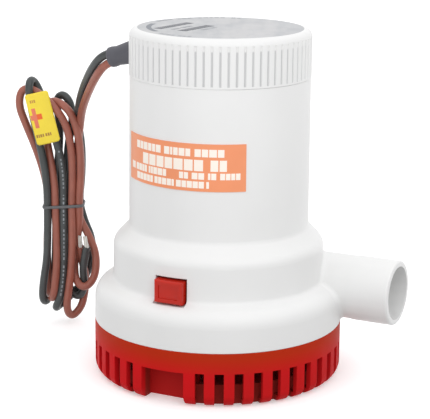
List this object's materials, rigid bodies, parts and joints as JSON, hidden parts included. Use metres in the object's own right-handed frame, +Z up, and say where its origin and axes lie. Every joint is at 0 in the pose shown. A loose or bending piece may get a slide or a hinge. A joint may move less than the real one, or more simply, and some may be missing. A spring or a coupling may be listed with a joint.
{
  "type": "submersible bilge pump",
  "caption": "Round submersible bilge pump: slotted clip-in strainer, stepped housing with side hose spigot, ribbed cap and a hanked two-wire lead.",
  "frame": {"origin": "middle of the strainer's underside, on the motor's axis, at the surface that the pump stands on", "axes": "+Z up along the motor's axis; -Y towards the viewer, with the rating label and the front release tab on that side; the hose outlet leaves towards +X and -Y"},
  "size_m": [0.1826, 0.1246, 0.1557],
  "materials": {
    "white_housing": "satin moulded ABS",
    "strainer_red": "satin moulded ABS",
    "volute_plastic": "plain moulded plastic",
    "badge_grey": "printed disc",
    "label_orange": "printed vinyl",
    "stainless": "turned stainless steel",
    "can_steel": "zinc plated",
    "ferrite": "sintered",
    "lamination": "stacked sheet",
    "copper": "enamelled copper",
    "card_plastic": "phenolic",
    "carbon": "carbon",
    "brass": "stamped",
    "component_blue": "dipped",
    "seal_rubber": "matt",
    "grommet_rubber": "satin",
    "wire_brown": "PVC insulation",
    "wire_black": "PVC insulation",
    "wire_mixed": "PVC insulation",
    "tinned_copper": "tinned strands",
    "tag_yellow": "printed card"
  },
  "bodies": {
    "pump": {"pump_housing": "white_housing", "top_cap": "white_housing", "strainer_base": "strainer_red", "inlet_plate": "volute_plastic", "top_badge": "badge_grey", "rating_label": "label_orange", "plate_screws": "stainless", "motor_screws": "stainless", "bearing_lower": "stainless", "bearing_upper": "stainless", "brush_springs": "stainless", "motor_can": "can_steel", "end_bell": "can_steel", "field_magnets": "ferrite", "suppression_choke": "ferrite", "brush_card": "card_plastic", "brush_holders": "card_plastic", "brush_left": "carbon", "brush_right": "carbon", "terminals": "brass", "suppression_capacitor": "component_blue", "shaft_seal_lower": "seal_rubber", "shaft_seal_upper": "seal_rubber", "cap_seal": "seal_rubber", "cable_grommet": "grommet_rubber", "lead_brown": "wire_brown", "inner_lead_brown": "wire_brown", "lead_black": "wire_black", "inner_lead_black": "wire_black", "hank_tie": "wire_black", "lead_hank": "wire_mixed", "bare_end_brown": "tinned_copper", "bare_end_black": "tinned_copper", "polarity_tag": "tag_yellow"},
    "rotor": {"motor_shaft": "stainless", "impeller": "volute_plastic", "impeller_clip": "stainless", "armature_core": "lamination", "armature_windings": "copper", "commutator": "copper"},
    "tab_front": {"release_tab_front": "strainer_red"},
    "tab_rear": {"release_tab_rear": "strainer_red"}
  },
  "joints": [
    {"name": "rotor_spin", "type": "hinge", "parent": "pump", "child": "rotor", "pos_m": [0, 0, 0.08], "axis": [0, 0, 1], "continuous": true},
    {"name": "front_tab_press", "type": "hinge", "parent": "pump", "child": "tab_front", "pos_m": [-0.01827, -0.03848, 0.0178], "axis": [-0.9033, 0.4289, 0], "range_deg": [0, 4.5], "stiffness_Nm_per_rad": 4},
    {"name": "rear_tab_press", "type": "hinge", "parent": "pump", "child": "tab_rear", "pos_m": [0.01827, 0.03848, 0.0178], "axis": [0.9033, -0.4289, 0], "range_deg": [0, 4.5], "stiffness_Nm_per_rad": 4}
  ]
}
